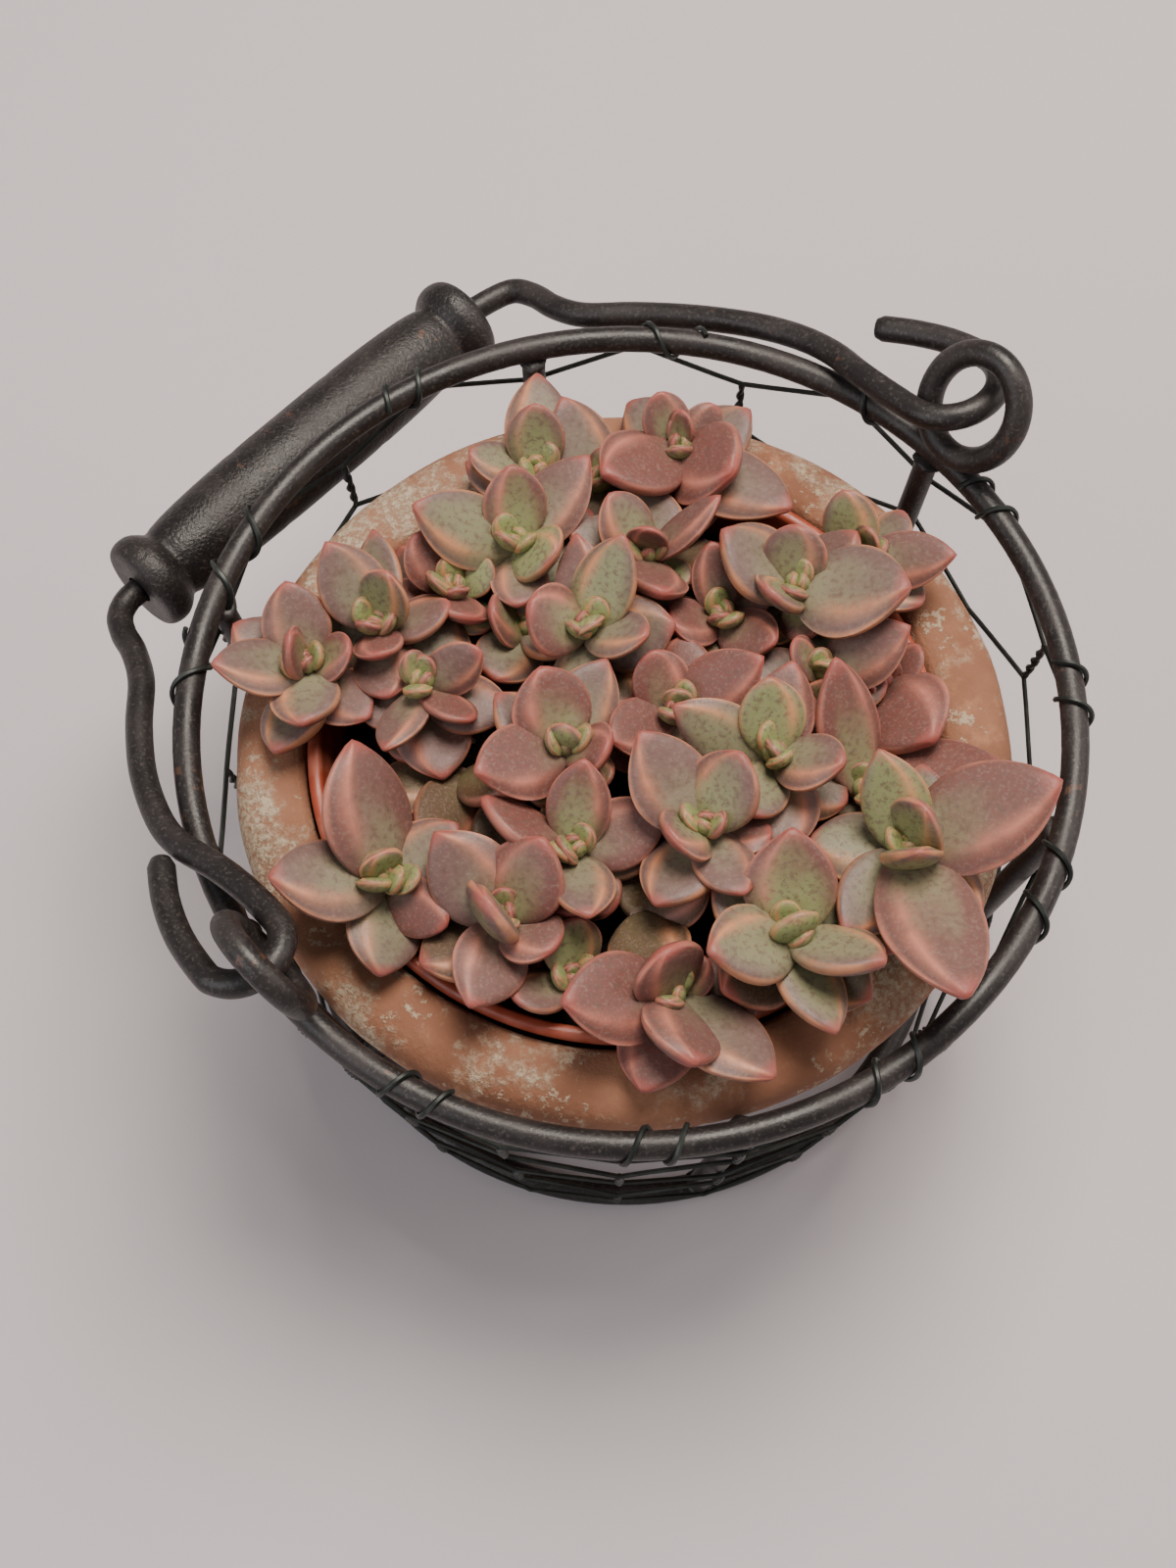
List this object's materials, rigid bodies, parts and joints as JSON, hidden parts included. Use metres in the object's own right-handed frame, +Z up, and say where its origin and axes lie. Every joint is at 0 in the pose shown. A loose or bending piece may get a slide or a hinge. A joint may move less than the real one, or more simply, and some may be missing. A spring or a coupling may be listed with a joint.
{
  "type": "potted sedum",
  "caption": "Sedum rosettes in a plastic nursery pot inside a clay pot, standing in a round wire basket with a swinging bail handle.",
  "frame": {"origin": "on the standing surface, below the middle of the object's box", "axes": "+Z up, -Y towards the viewer's side of the picture, the grip rests towards -X +Y"},
  "size_m": [0.1606, 0.1657, 0.1079],
  "materials": {
    "wire": "dark brown-black satin paint, a little worn",
    "grip": "dark satin paint over a turned tube grip",
    "netting": "dark green-black painted wire netting",
    "clay": "weathered unglazed clay with lime bloom",
    "nursery_plastic": "thin brick red moulded plastic",
    "soil": "near black potting mix with pale grains",
    "leaf": "fleshy leaf, dusty rose with grey-green middles and coral edges"
  },
  "bodies": {
    "root": {"top_ring": "wire", "base_ring": "wire", "stay_1": "wire", "stay_2": "wire", "stay_3": "wire", "stay_4": "wire", "stay_5": "wire", "stay_6": "wire", "floor_rod_1": "wire", "floor_rod_2": "wire", "floor_rod_3": "wire", "ear_left": "wire", "ear_right": "wire", "netting_wall": "netting", "netting_floor": "netting", "clay_pot": "clay", "nursery_pot": "nursery_plastic", "soil": "soil", "sedum_01": "leaf", "sedum_02": "leaf", "sedum_03": "leaf", "sedum_04": "leaf", "sedum_05": "leaf", "sedum_06": "leaf", "sedum_07": "leaf", "sedum_08": "leaf", "sedum_09": "leaf", "sedum_10": "leaf", "sedum_11": "leaf", "sedum_12": "leaf", "sedum_13": "leaf", "sedum_14": "leaf", "sedum_15": "leaf", "sedum_16": "leaf", "sedum_17": "leaf", "sedum_18": "leaf", "sedum_19": "leaf", "sedum_20": "leaf", "sedum_21": "leaf", "sedum_22": "leaf", "sedum_23": "leaf", "sedum_24": "leaf", "sedum_25": "leaf", "sedum_26": "leaf", "sedum_27": "leaf", "sedum_28": "leaf", "sedum_29": "leaf", "sedum_30": "leaf", "sedum_31": "leaf", "sedum_32": "leaf"},
    "bail": {"bail": "wire"},
    "grip": {"grip": "grip"}
  },
  "joints": [
    {"name": "bail_swing", "type": "hinge", "parent": "root", "child": "bail", "pos_m": [0.0069, -0.0094, 0.0977], "axis": [0.7547, 0.6561, 0], "range_deg": [0, 205]},
    {"name": "grip_spin", "type": "hinge", "parent": "bail", "child": "grip", "pos_m": [-0.04845, 0.04741, 0.07121], "axis": [0.6855, 0.7273, -0.0332], "continuous": true}
  ]
}
